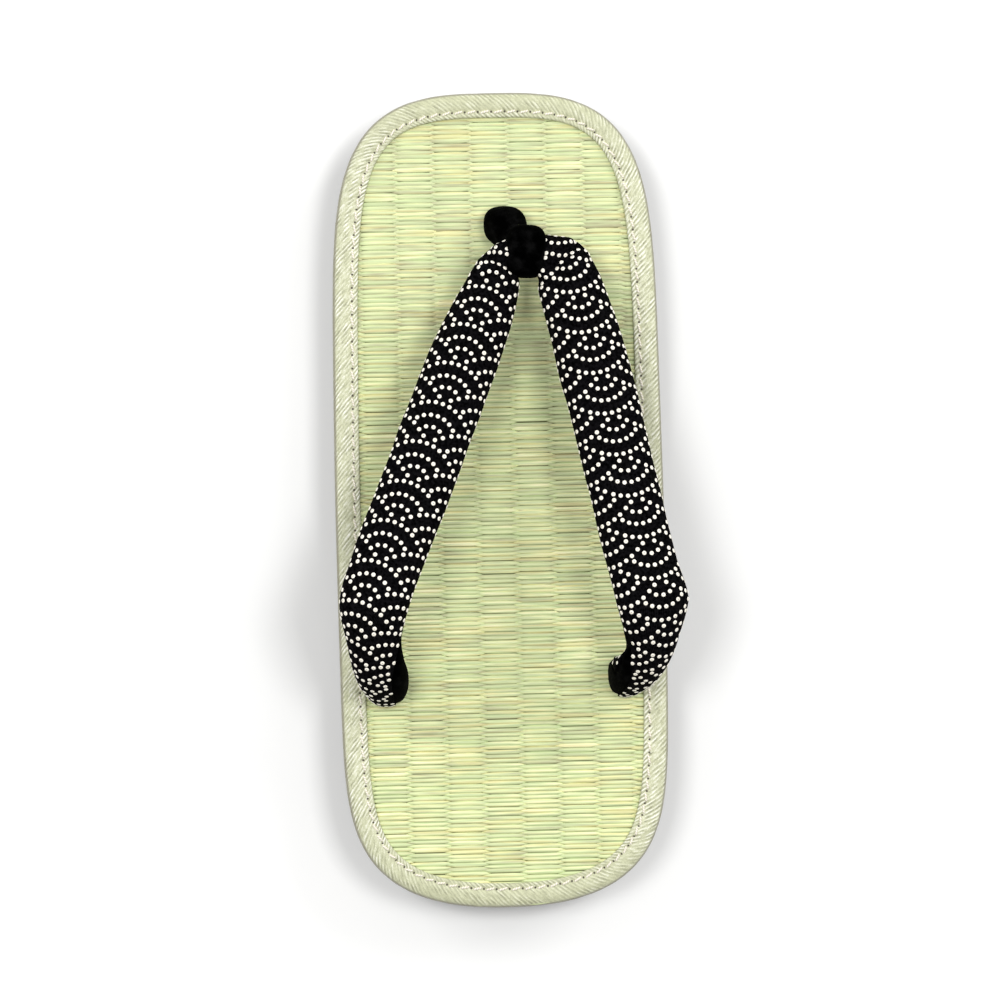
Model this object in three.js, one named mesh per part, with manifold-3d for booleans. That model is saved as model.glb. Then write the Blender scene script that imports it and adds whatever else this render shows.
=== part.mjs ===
// Rush-topped thong sandal: a plain foam sole with long straight sides and blunt round ends, a woven
// rush mat held by a cloth binding round its edge, and a padded V strap that goes down into two side
// holes and is tied at the front by a velvet toe post.
// Millimetres, +Y to the toe, +X to the wearer's right, +Z up, floor at Z = 0 under the sole's centre.

import * as THREE from 'three';
import { mergeVertices } from 'three/addons/utils/BufferGeometryUtils.js';
import Module from 'manifold-3d';

const wasm = await Module();
wasm.setup();

// Outline of the sandal, the same on left and right
const LENGTH = 260;
const TOE_HALF_WIDTH = 50.7;
const MID_HALF_WIDTH = 52.6;
const HEEL_HALF_WIDTH = 51.4;
const SIDE_BOW = 1.6;
const TOE_END = { reach: 98, along: 5.1, across: 3.07 };
const HEEL_END = { reach: 93, along: 6, across: 2.33 };
const OUTLINE_STEPS = 44;

// Side profile: height of the mat's top, and of the sole's underside between its two flat rests
const HEEL_TOP = 24;
const FOREFOOT_TOP = 19;
const RAMP = { from: -55, to: 45 };
const TOE_SPRING = { from: 80, sole: 5, mat: 3.5 };
const ARCH = { from: -40, to: 25, rise: 2.5 };
const HEEL_BEVEL = { from: -112, rise: 1.5 };

// Layers
const CLEARANCE = 0.3;
const MAT_THICKNESS = 4;
const MAT_INSET = 2.2;
const POCKET_CLEARANCE = 0.4;

// Side of the sole from its underside to its top: inset from the outline, share of the way up
const SOLE_SIDE = [
  { inset: 4.2, up: 0 },
  { inset: 2.4, up: 0.05 },
  { inset: 1.3, up: 0.16 },
  { inset: 0.9, up: 0.45 },
  { inset: 0.8, up: 1 },
];

// Section of the edge binding: inset from the outline, height over the mat's top
const BINDING_SECTION = [
  { inset: 0.3, up: -4 },
  { inset: 0, up: -2.4 },
  { inset: 0.15, up: -0.9 },
  { inset: 0.9, up: 0.4 },
  { inset: 2.4, up: 1.15 },
  { inset: 4.6, up: 1.35 },
  { inset: 7.2, up: 1.25 },
  { inset: 8, up: 0.85 },
  { inset: 8, up: 0.3 },
  { inset: 1.9, up: 0.3 },
  { inset: 1.9, up: -4 },
];

// Padded strap from the left hole, through the toe loop, to the right hole. Each row is a section:
// plan place of its outer and inner edge, their heights over the mat, and the padding's thickness.
const STRAP_SECTIONS = [
  { outX: -43.8, outY: -57.6, outUp: -9.5, inX: -31.2, inY: -57.6, inUp: -9.5, thick: 12 },
  { outX: -43.8, outY: -57.6, outUp: 0, inX: -31.2, inY: -57.6, inUp: 0, thick: 13.5 },
  { outX: -45.2, outY: -56.6, outUp: 8, inX: -30.8, inY: -56.2, inUp: 9, thick: 13.5 },
  { outX: -47, outY: -54, outUp: 15.5, inX: -31.2, inY: -53.2, inUp: 17.5, thick: 12.5 },
  { outX: -48.4, outY: -49.6, outUp: 21.3, inX: -32.4, inY: -48.8, inUp: 23.9, thick: 11 },
  { outX: -49.9, outY: -42.6, outUp: 26, inX: -33, inY: -42.4, inUp: 28.8, thick: 9.8 },
  { outX: -51.8, outY: -31, outUp: 30, inX: -30, inY: -30.8, inUp: 33, thick: 9.5 },
  { outX: -48.5, outY: -18.1, outUp: 29.2, inX: -25.9, inY: -20.6, inUp: 31.2, thick: 9.5 },
  { outX: -36.9, outY: 11.1, outUp: 24.8, inX: -15.3, inY: 4.5, inUp: 26.8, thick: 9.5 },
  { outX: -20.9, outY: 49.7, outUp: 18.2, inX: -0.3, inY: 42.6, inUp: 19.2, thick: 9.5 },
  { outX: -15.4, outY: 60.1, outUp: 16, inX: 3.6, inY: 53.1, inUp: 16.6, thick: 9 },
  { outX: -10.5, outY: 68.1, outUp: 14.4, inX: 6, inY: 61.5, inUp: 14.6, thick: 8.5 },
  { outX: -5, outY: 76.5, outUp: 14, inX: 7, inY: 67, inUp: 14, thick: 8 },
  { outX: 2.8, outY: 82, outUp: 13, inX: 6.8, inY: 71, inUp: 13, thick: 7.5 },
  { outX: 9.3, outY: 83.6, outUp: 13, inX: 9.6, inY: 72.4, inUp: 13, thick: 7.5 },
  { outX: 15.9, outY: 83.6, outUp: 13, inX: 12.4, inY: 71.6, inUp: 13, thick: 7.5 },
  { outX: 26, outY: 81, outUp: 14, inX: 13.2, inY: 69.2, inUp: 14, thick: 8 },
  { outX: 32.2, outY: 71.6, outUp: 14.4, inX: 13.1, inY: 66.1, inUp: 14.6, thick: 8.5 },
  { outX: 35.4, outY: 62.5, outUp: 16, inX: 14.3, inY: 60.6, inUp: 16.6, thick: 9 },
  { outX: 39.2, outY: 49.8, outUp: 18.2, inX: 17, inY: 47.1, inUp: 19.2, thick: 9.5 },
  { outX: 47.2, outY: 11.6, outUp: 24.8, inX: 25.5, inY: 7, inUp: 26.8, thick: 9.5 },
  { outX: 53, outY: -19.6, outUp: 29.2, inX: 31.4, inY: -22.1, inUp: 31.2, thick: 9.5 },
  { outX: 55.2, outY: -32, outUp: 30, inX: 33.5, inY: -31.5, inUp: 33, thick: 9.5 },
  { outX: 53.6, outY: -42.6, outUp: 26, inX: 36, inY: -42.2, inUp: 28.8, thick: 9.8 },
  { outX: 51.2, outY: -49.2, outUp: 21.3, inX: 35, inY: -48.2, inUp: 23.9, thick: 10.8 },
  { outX: 48.6, outY: -53.4, outUp: 15.5, inX: 33.8, inY: -52.4, inUp: 17.5, thick: 12 },
  { outX: 45.6, outY: -55.8, outUp: 8, inX: 33, inY: -55.2, inUp: 9, thick: 13 },
  { outX: 43.8, outY: -56.6, outUp: 0, inX: 32.8, inY: -56.6, inUp: 0, thick: 13 },
  { outX: 43.8, outY: -56.6, outUp: -9.5, inX: 32.8, inY: -56.6, inUp: -9.5, thick: 12 },
];
const STRAP_STEPS_PER_ROW = 2;
const STRAP_SIDES = 18;
const STRAP_EDGE_ROUND = { width: 2.5, thickness: 2.2 };
const STRAP_FACE_SHARE = 0.55;

// Velvet toe post: a stem that leans back from the front hole, and a bead that wraps the strap
const STEM_SECTIONS = [
  { x: 2, y: 88, up: -9.5, radius: 4.6 },
  { x: 2, y: 88, up: 0, radius: 5 },
  { x: 2.5, y: 87.8, up: 2.8, radius: 6 },
  { x: 4, y: 86.7, up: 5.8, radius: 6.4 },
  { x: 6.6, y: 84, up: 9.4, radius: 5.7 },
  { x: 8.4, y: 81.5, up: 12.2, radius: 4.4 },
];
const STEM_SIDES = 20;
const STEM_STEPS_PER_ROW = 3;
const BEAD = { x: 9.5, y: 78.4, up: 13.2, halfX: 6.4, halfY: 8.4, halfZ: 6.6, boxy: 3.4, turn: -0.06 };
const BEAD_SEGMENTS = { round: 26, high: 16 };

// Colours of the finishes
const FINISH = {
  foam: { color: '#2b2725', roughness: 0.9 },
  rush: { color: '#dce1aa', roughness: 0.75 },
  cloth: { color: '#cfd0b2', roughness: 0.6 },
  print: { color: '#121113', roughness: 0.85 },
  velvet: { color: '#09090a', roughness: 1 },
};

const { lerp, smoothstep } = THREE.MathUtils;

// Height of the mat's top over the floor at a place along the sandal
function matTop(y) {
  const ramp = HEEL_TOP - (HEEL_TOP - FOREFOOT_TOP) * smoothstep(y, RAMP.from, RAMP.to);
  return ramp + TOE_SPRING.mat * springShare(y);
}

// Height of the sole's underside: flat under heel and forefoot, arched between, lifted at the ends
function soleBottom(y) {
  const share = (y - ARCH.from) / (ARCH.to - ARCH.from);
  const arch = share > 0 && share < 1 ? ARCH.rise * Math.sin(Math.PI * share) ** 2 : 0;
  const bevel = Math.max(0, (HEEL_BEVEL.from - y) / (LENGTH / 2 + HEEL_BEVEL.from));
  return arch + TOE_SPRING.sole * springShare(y) + HEEL_BEVEL.rise * bevel ** 2;
}

function springShare(y) {
  return Math.max(0, (y - TOE_SPRING.from) / (LENGTH / 2 - TOE_SPRING.from)) ** 2;
}

// Half width of the outline at a place along the sandal
function halfWidth(y) {
  const share = y / (LENGTH / 2);
  const endWidth = y > 0 ? TOE_HALF_WIDTH : HEEL_HALF_WIDTH;
  const side = MID_HALF_WIDTH - (MID_HALF_WIDTH - endWidth) * Math.abs(share) ** SIDE_BOW;
  return side * roundOff(LENGTH / 2 - y, TOE_END) * roundOff(LENGTH / 2 + y, HEEL_END);
}

// Share of the full width that is left at a distance from a blunt end
function roundOff(distance, end) {
  const left = Math.max(0, 1 - distance / end.reach);
  return Math.max(0, 1 - left ** end.along) ** (1 / end.across);
}

// Closed outline, from the heel's tip along the right side to the toe's tip and back on the left
function outline() {
  const right = [];
  for (let i = 0; i <= OUTLINE_STEPS; i++) {
    const y = -LENGTH / 2 * Math.cos(Math.PI * i / OUTLINE_STEPS);
    right.push(new THREE.Vector2(halfWidth(y), y));
  }
  const left = right.slice(1, -1).reverse().map((p) => new THREE.Vector2(-p.x, p.y));
  return [...right, ...left];
}

const OUTLINE = outline();

// The outline's point i, moved inwards square to the edge
function insetPoint(i, inset) {
  const count = OUTLINE.length;
  const before = OUTLINE[(i + count - 1) % count];
  const after = OUTLINE[(i + 1) % count];
  const along = after.clone().sub(before).normalize();
  return new THREE.Vector2(OUTLINE[i].x - inset * along.y, OUTLINE[i].y + inset * along.x);
}

// A closed body from points and triangles, turned so that its faces point outwards
function closedGeometry(points, triangles) {
  const volume = triangles.reduce((sum, [a, b, c]) => {
    const normal = new THREE.Vector3().crossVectors(points[b], points[c]);
    return sum + points[a].dot(normal);
  }, 0);
  const faces = volume < 0 ? triangles.map((t) => [...t].reverse()) : triangles;
  return new THREE.BufferGeometry().setFromPoints(points).setIndex(faces.flat());
}

// Triangles of the skin between neighbouring rings of equal size
function skin(ringCount, size, joined) {
  const triangles = [];
  const spans = joined ? ringCount : ringCount - 1;
  for (let i = 0; i < spans; i++) {
    const here = i * size;
    const next = ((i + 1) % ringCount) * size;
    for (let j = 0; j < size; j++) {
      const k = (j + 1) % size;
      triangles.push([here + j, here + k, next + k], [here + j, next + k, next + j]);
    }
  }
  return triangles;
}

// A ring-shaped body, the rings joined round
function hoop(rings) {
  return closedGeometry(rings.flat(), skin(rings.length, rings[0].length, true));
}

// A long body, its convex first and last ring closed with fans
function rod(rings) {
  const size = rings[0].length;
  const last = (rings.length - 1) * size;
  const triangles = skin(rings.length, size, false);
  for (let j = 1; j < size - 1; j++) {
    triangles.push([0, j + 1, j], [last, last + j, last + j + 1]);
  }
  return closedGeometry(rings.flat(), triangles);
}

// A flat body whose levels all follow the outline, closed below and above by strips across
function slab(levels) {
  const size = OUTLINE.length;
  const last = (levels.length - 1) * size;
  const triangles = skin(levels.length, size, false);
  for (let i = 0; i < size / 2; i++) {
    const across = (size - i) % size;
    const strip = [[i + 1, i, across], [i + 1, across, size - i - 1]];
    for (const t of strip.filter(([a, b, c]) => a !== b && b !== c && a !== c)) {
      triangles.push(t, [...t].reverse().map((v) => v + last));
    }
  }
  return closedGeometry(levels.flat(), triangles);
}

// One level of a slab, at an inset and a height that may vary along the sandal
function level(inset, height) {
  return OUTLINE.map((_, i) => {
    const p = insetPoint(i, inset);
    return new THREE.Vector3(p.x, p.y, height(p.y));
  });
}

// Joining and cutting
function solidOf(geometry) {
  const plain = geometry.clone();
  plain.deleteAttribute('normal');
  plain.deleteAttribute('uv');
  const merged = mergeVertices(plain);
  const vertProperties = new Float32Array(merged.attributes.position.array);
  const triVerts = new Uint32Array(merged.index.array);
  return new wasm.Manifold(new wasm.Mesh({ numProp: 3, vertProperties, triVerts }));
}

function geometryOf(solid) {
  const { vertProperties, triVerts } = solid.getMesh();
  const geometry = new THREE.BufferGeometry();
  geometry.setAttribute('position', new THREE.BufferAttribute(vertProperties, 3));
  return geometry.setIndex(new THREE.BufferAttribute(triVerts, 1));
}

function cutBy(geometry, tools) {
  return geometryOf(tools.reduce((solid, tool) => solid.subtract(solidOf(tool)), solidOf(geometry)));
}

// Foam sole, without the pockets that the strap and the post go down into
function soleBody() {
  const top = (y) => matTop(y) - MAT_THICKNESS - CLEARANCE;
  const height = (up) => (y) => soleBottom(y) + up * (top(y) - soleBottom(y));
  return slab(SOLE_SIDE.map(({ inset, up }) => level(inset, height(up))));
}

// Rush mat, its edge inside the binding
function matBody() {
  const bottom = level(MAT_INSET, (y) => matTop(y) - MAT_THICKNESS);
  return slab([bottom, level(MAT_INSET, matTop)]);
}

// Cloth binding that folds over the mat's edge
function bindingBody() {
  return hoop(OUTLINE.map((_, i) => BINDING_SECTION.map(({ inset, up }) => {
    const p = insetPoint(i, inset);
    return new THREE.Vector3(p.x, p.y, matTop(p.y) + up);
  })));
}

// Signed power, which squares up a circle's sine and cosine
function squared(value, round) {
  return Math.sign(value) * Math.abs(value) ** (2 / round);
}

// A table's column at a share of the way from its first to its last row
function between(rows, column, t) {
  const place = t * (rows.length - 1);
  const row = Math.min(Math.floor(place), rows.length - 2);
  return lerp(rows[row][column], rows[row + 1][column], place - row);
}

// Padded strap: pillow-shaped sections between an outer and an inner edge line
function strapBody(grow) {
  const edge = (x, y, up) => new THREE.Vector3(x, y, matTop(y) + up);
  const outer = new THREE.CatmullRomCurve3(STRAP_SECTIONS.map((s) => edge(s.outX, s.outY, s.outUp)));
  const inner = new THREE.CatmullRomCurve3(STRAP_SECTIONS.map((s) => edge(s.inX, s.inY, s.inUp)));
  const count = (STRAP_SECTIONS.length - 1) * STRAP_STEPS_PER_ROW;
  const middle = (t) => outer.getPoint(t).add(inner.getPoint(t)).multiplyScalar(0.5);
  const rings = [];
  for (let i = 0; i <= count; i++) {
    const t = i / count;
    const thick = between(STRAP_SECTIONS, 'thick', t);
    const before = middle(Math.max(t - 0.5 / count, 0));
    const ahead = middle(Math.min(t + 0.5 / count, 1)).sub(before).normalize();
    const across = inner.getPoint(t).sub(outer.getPoint(t));
    const half = across.length() / 2 + grow;
    across.normalize();
    const face = new THREE.Vector3().crossVectors(across, ahead).normalize();
    const centre = middle(t);
    if (grow && i === 0) centre.addScaledVector(ahead, -grow);
    if (grow && i === count) centre.addScaledVector(ahead, grow);
    rings.push(pillowRing(centre, across.multiplyScalar(half), face, thick + 2 * grow));
  }
  return rod(rings);
}

// One section of the strap: fuller on its face than on its lining
function pillowRing(centre, halfAcross, face, thick) {
  const ring = [];
  for (let j = 0; j < STRAP_SIDES; j++) {
    const angle = 2 * Math.PI * j / STRAP_SIDES;
    const side = squared(Math.cos(angle), STRAP_EDGE_ROUND.width);
    const rise = squared(Math.sin(angle), STRAP_EDGE_ROUND.thickness);
    const depth = thick * (rise > 0 ? STRAP_FACE_SHARE : 1 - STRAP_FACE_SHARE);
    ring.push(centre.clone().addScaledVector(halfAcross, side).addScaledVector(face, rise * depth));
  }
  return ring;
}

// Stem of the toe post, round in section
function stemBody(grow) {
  const place = (s) => new THREE.Vector3(s.x, s.y, matTop(s.y) + s.up);
  const path = new THREE.CatmullRomCurve3(STEM_SECTIONS.map(place));
  const count = (STEM_SECTIONS.length - 1) * STEM_STEPS_PER_ROW;
  const rings = [];
  for (let i = 0; i <= count; i++) {
    const t = i / count;
    const radius = between(STEM_SECTIONS, 'radius', t);
    const ahead = path.getTangent(t);
    const right = new THREE.Vector3(1, 0, 0).addScaledVector(ahead, -ahead.x).normalize();
    const back = new THREE.Vector3().crossVectors(ahead, right);
    const centre = path.getPoint(t);
    if (grow && i === 0) centre.addScaledVector(ahead, -grow);
    rings.push(roundRing(centre, right, back, radius + grow));
  }
  return rod(rings);
}

function roundRing(centre, right, back, radius) {
  const ring = [];
  for (let j = 0; j < STEM_SIDES; j++) {
    const angle = 2 * Math.PI * j / STEM_SIDES;
    const p = centre.clone().addScaledVector(right, radius * Math.cos(angle));
    ring.push(p.addScaledVector(back, radius * Math.sin(angle)));
  }
  return ring;
}

// Bead of the toe post: a ball squared up into a soft block
function beadBody() {
  const geometry = new THREE.SphereGeometry(1, BEAD_SEGMENTS.round, BEAD_SEGMENTS.high);
  const position = geometry.attributes.position;
  const p = new THREE.Vector3();
  for (let i = 0; i < position.count; i++) {
    p.fromBufferAttribute(position, i);
    const sum = Math.abs(p.x) ** BEAD.boxy + Math.abs(p.y) ** BEAD.boxy + Math.abs(p.z) ** BEAD.boxy;
    p.multiplyScalar(sum ** (-1 / BEAD.boxy));
    position.setXYZ(i, p.x * BEAD.halfX, p.y * BEAD.halfY, p.z * BEAD.halfZ);
  }
  geometry.rotateZ(BEAD.turn);
  return geometry.translate(BEAD.x, BEAD.y, matTop(BEAD.y) + BEAD.up);
}

function toePostBody() {
  const whole = solidOf(stemBody(0)).add(solidOf(beadBody()));
  return geometryOf(whole.subtract(solidOf(strapBody(CLEARANCE))));
}

// Assembly
function part(name, geometry, { color, roughness }) {
  const material = new THREE.MeshStandardMaterial({ color, roughness, metalness: 0 });
  const mesh = new THREE.Mesh(geometry, material);
  mesh.name = name;
  return mesh;
}

const pockets = [strapBody(POCKET_CLEARANCE), stemBody(POCKET_CLEARANCE)];
const sandal = new THREE.Group();
sandal.add(
  part('sole', cutBy(soleBody(), pockets), FINISH.foam),
  part('mat', cutBy(matBody(), pockets), FINISH.rush),
  part('edge_binding', bindingBody(), FINISH.cloth),
  part('strap', strapBody(0), FINISH.print),
  part('toe_post', toePostBody(), FINISH.velvet),
);

export default sandal;
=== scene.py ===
# %% [markdown]
# # A rush-topped zori
#
# A zori is a flat sandal: a foam slab, a mat of woven rush on top of it, a cloth tape sewn round the mat's edge,
# and a padded strap that a velvet post holds between the toes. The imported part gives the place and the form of
# every piece. This lesson dresses them one by one, from the sole up, in the part's own frame: +Y points to the
# toe, +X to the wearer's right, +Z up, and the floor is at Z = 0.

import math
import random

import bmesh
import bpy
from mathutils import Matrix, Vector, noise
from mathutils.bvhtree import BVHTree


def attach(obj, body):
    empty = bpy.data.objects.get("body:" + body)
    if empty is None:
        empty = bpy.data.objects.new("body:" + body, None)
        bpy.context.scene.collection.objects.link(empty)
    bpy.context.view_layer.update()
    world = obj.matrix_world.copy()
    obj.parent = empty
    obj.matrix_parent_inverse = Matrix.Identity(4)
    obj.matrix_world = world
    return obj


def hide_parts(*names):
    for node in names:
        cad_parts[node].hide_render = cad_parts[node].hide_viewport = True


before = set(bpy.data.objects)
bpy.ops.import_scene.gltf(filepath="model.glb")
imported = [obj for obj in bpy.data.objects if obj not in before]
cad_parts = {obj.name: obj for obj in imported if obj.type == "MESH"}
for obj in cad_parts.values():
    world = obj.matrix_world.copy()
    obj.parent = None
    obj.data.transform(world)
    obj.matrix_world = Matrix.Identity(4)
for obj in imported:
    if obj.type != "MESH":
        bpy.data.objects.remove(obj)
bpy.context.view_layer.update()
scene = bpy.context.scene
MM = 0.001
print("nodes of the part:", ", ".join(sorted(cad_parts)))

# %% [markdown]
# ## Camera
#
# The picture looks straight down from a little over a metre, from a point to the left of the sandal. A camera
# could be set by hand, but here its place and the width of the picture were worked out from the sandal's size,
# so the lens follows from them. The sandal's toe leans a little to the left, so the camera is rolled by that.

# %% Camera
CAMERA_PLACE = Vector((-50.4, 2.1, 1121.0))
CAMERA_AIM = Vector((0.0, 0.0, 21.0))
CAMERA_UP = Vector((0.0235, 0.9997, 0.0))
PICTURE_WIDTH = 319.4
SENSOR = 36.0

back = CAMERA_PLACE - CAMERA_AIM
camera_data = bpy.data.cameras.new("camera")
camera_data.sensor_width = SENSOR
camera_data.lens = SENSOR * back.length / PICTURE_WIDTH
camera = bpy.data.objects.new("camera", camera_data)
right = CAMERA_UP.cross(back).normalized()
turn = Matrix((right, back.normalized().cross(right), back.normalized())).transposed()
camera.matrix_world = Matrix.Translation(CAMERA_PLACE * MM) @ turn.to_4x4()
scene.collection.objects.link(camera)
scene.camera = camera
print("lens:", round(camera_data.lens, 1), "mm")

# %% [markdown]
# ## The sandal's form
#
# Sole, mat and binding all follow one outline, with long straight sides and blunt round ends, and two heights:
# the mat's top, which falls from heel to forefoot and springs up at the toe, and the sole's underside. They are
# functions of the place along the sandal, in millimetres, with the same values as the part's solids.

# %% Outline and heights
HALF_LENGTH = 130.0
TOE_HALF_WIDTH, MID_HALF_WIDTH, HEEL_HALF_WIDTH = 50.7, 52.6, 51.4
SIDE_BOW = 1.6
TOE_END = {"reach": 98.0, "along": 5.1, "across": 3.07}
HEEL_END = {"reach": 93.0, "along": 6.0, "across": 2.33}
HEEL_TOP, FOREFOOT_TOP = 24.0, 19.0
RAMP_FROM, RAMP_TO = -55.0, 45.0
SPRING_FROM, MAT_SPRING, SOLE_SPRING = 80.0, 3.5, 5.0
ARCH_FROM, ARCH_TO, ARCH_RISE = -40.0, 25.0, 2.5
BEVEL_FROM, BEVEL_RISE = -112.0, 1.5


def ease(x, low, high):
    """0 below low, 1 above high, and a soft ramp between."""
    t = min(max((x - low) / (high - low), 0.0), 1.0)
    return t * t * (3 - 2 * t)


def spring(y):
    return max(0.0, (y - SPRING_FROM) / (HALF_LENGTH - SPRING_FROM)) ** 2


def mat_top(y):
    return HEEL_TOP - (HEEL_TOP - FOREFOOT_TOP) * ease(y, RAMP_FROM, RAMP_TO) + MAT_SPRING * spring(y)


def sole_bottom(y):
    share = min(max((y - ARCH_FROM) / (ARCH_TO - ARCH_FROM), 0.0), 1.0)
    bevel = max(0.0, (BEVEL_FROM - y) / (HALF_LENGTH + BEVEL_FROM))
    return ARCH_RISE * math.sin(math.pi * share) ** 2 + SOLE_SPRING * spring(y) + BEVEL_RISE * bevel ** 2


def round_off(distance, end):
    left = max(0.0, 1 - distance / end["reach"])
    return max(0.0, 1 - left ** end["along"]) ** (1 / end["across"])


def half_width(y):
    end_width = TOE_HALF_WIDTH if y > 0 else HEEL_HALF_WIDTH
    side = MID_HALF_WIDTH - (MID_HALF_WIDTH - end_width) * abs(y / HALF_LENGTH) ** SIDE_BOW
    return side * round_off(HALF_LENGTH - y, TOE_END) * round_off(HALF_LENGTH + y, HEEL_END)


print("sandal of", 2 * HALF_LENGTH, "by", round(2 * half_width(0.0), 1), "mm")

# %% Even steps round the edge
EDGE_STEPS = 1296
FINE_STEPS = 2000


def evenly(points, count):
    """count + 1 points at even distances along a line of points."""
    lengths = [0.0]
    for a, b in zip(points, points[1:]):
        lengths.append(lengths[-1] + (b - a).length)
    spaced, i = [], 0
    for k in range(count + 1):
        goal = lengths[-1] * k / count
        while i < len(points) - 2 and lengths[i + 1] < goal:
            i += 1
        span = lengths[i + 1] - lengths[i]
        spaced.append(points[i].lerp(points[i + 1], (goal - lengths[i]) / span if span else 0.0))
    return spaced


def right_edge(i):
    y = -HALF_LENGTH * math.cos(math.pi * i / FINE_STEPS)
    return Vector((half_width(y), y))


right_side = [right_edge(i) for i in range(FINE_STEPS + 1)]
left_side = [Vector((-p.x, p.y)) for p in reversed(right_side)]
EDGE = evenly(right_side + left_side[1:], EDGE_STEPS)[:-1]
EDGE_LENGTH = sum((EDGE[i] - EDGE[i - 1]).length for i in range(EDGE_STEPS))


def edge_point(step, inset):
    """A place on the outline, moved inwards square to the edge. Steps count from the heel, up the right side."""
    along = EDGE[(step + 1) % EDGE_STEPS] - EDGE[(step - 1) % EDGE_STEPS]
    inwards = Vector((-along.y, along.x)).normalized()
    return EDGE[step % EDGE_STEPS] + inset * inwards


print("edge of", round(EDGE_LENGTH), "mm in", EDGE_STEPS, "steps")

# %% [markdown]
# ## How pieces are made
#
# Most of this sandal is cloth or a strand that bends round something. One helper makes them all: a flat grid,
# cut to strips where many are wanted, and then every corner is put where a function of its strip and of its
# place in the strip says. The grid operator gives the faces and the UV map, and the function gives the form.

# %% Grid and piece helpers
MEET = 0.002


def slit_grid(columns, rows, strips, place, marks=None):
    """A grid slit into equal strips. Corner (u, v) of strip n goes to place(n, u, v), in millimetres.
    Marks are numbers by name that the finish reads, given by the same kind of function."""
    bm = bmesh.new()
    bm.loops.layers.uv.new("UVMap")
    layers = [(bm.verts.layers.float.new(name), mark) for name, mark in (marks or {}).items()]
    bmesh.ops.create_grid(bm, x_segments=columns, y_segments=rows * strips, size=0.5, calc_uvs=True)

    def row_of(v):
        return round((v.co.y + 0.5) * rows * strips)

    slits = [e for e in bm.edges if len(e.link_faces) == 2
             and row_of(e.verts[0]) == row_of(e.verts[1]) and row_of(e.verts[0]) % rows == 0]
    if slits:
        bmesh.ops.split_edges(bm, edges=slits)
    corners = []
    for v in bm.verts:
        strip = int((v.link_faces[0].calc_center_median().y + 0.5) * strips)
        corners.append((v, strip, v.co.x + 0.5, row_of(v) / rows - strip))
    for v, strip, u, share in corners:
        v.co = place(strip, u, share)
        for layer, mark in layers:
            v[layer] = mark(strip, u, share)
    return bm


def row_at(rows, v):
    """The row of a table at a share v of its length."""
    return rows[round(v * (len(rows) - 1))]


def seal(bm):
    """Joins the corners that meet, and turns all faces outwards."""
    bmesh.ops.remove_doubles(bm, verts=bm.verts, dist=MEET)
    bmesh.ops.recalc_face_normals(bm, faces=bm.faces)
    return bm


def new_object(name, bm, finish):
    """Puts a mesh with its finish into the scene."""
    mesh = bpy.data.meshes.new(name)
    bm.to_mesh(mesh)
    bm.free()
    mesh.materials.append(finish)
    made = bpy.data.objects.new(name, mesh)
    scene.collection.objects.link(made)
    return made


def keep(name, bm, finish, node):
    """Makes a mesh in millimetres a piece that stands for a node of the part."""
    for face in bm.faces:
        face.smooth = True
    bmesh.ops.scale(bm, vec=(MM, MM, MM), verts=bm.verts)
    piece = new_object(name, bm, finish)
    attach(piece, "root")
    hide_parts(node)
    print(name, "has", len(piece.data.polygons), "faces")
    return piece


# %% [markdown]
# ## How finishes are written
#
# A finish is a small sum: so much of this noise, so dark between the ribs. Wires drawn by hand in the node editor
# hide that sum, so here a socket is wrapped in a class with Python's own operators, and 1 - mask adds the node.

# %% Wires that can be added and multiplied


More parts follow.
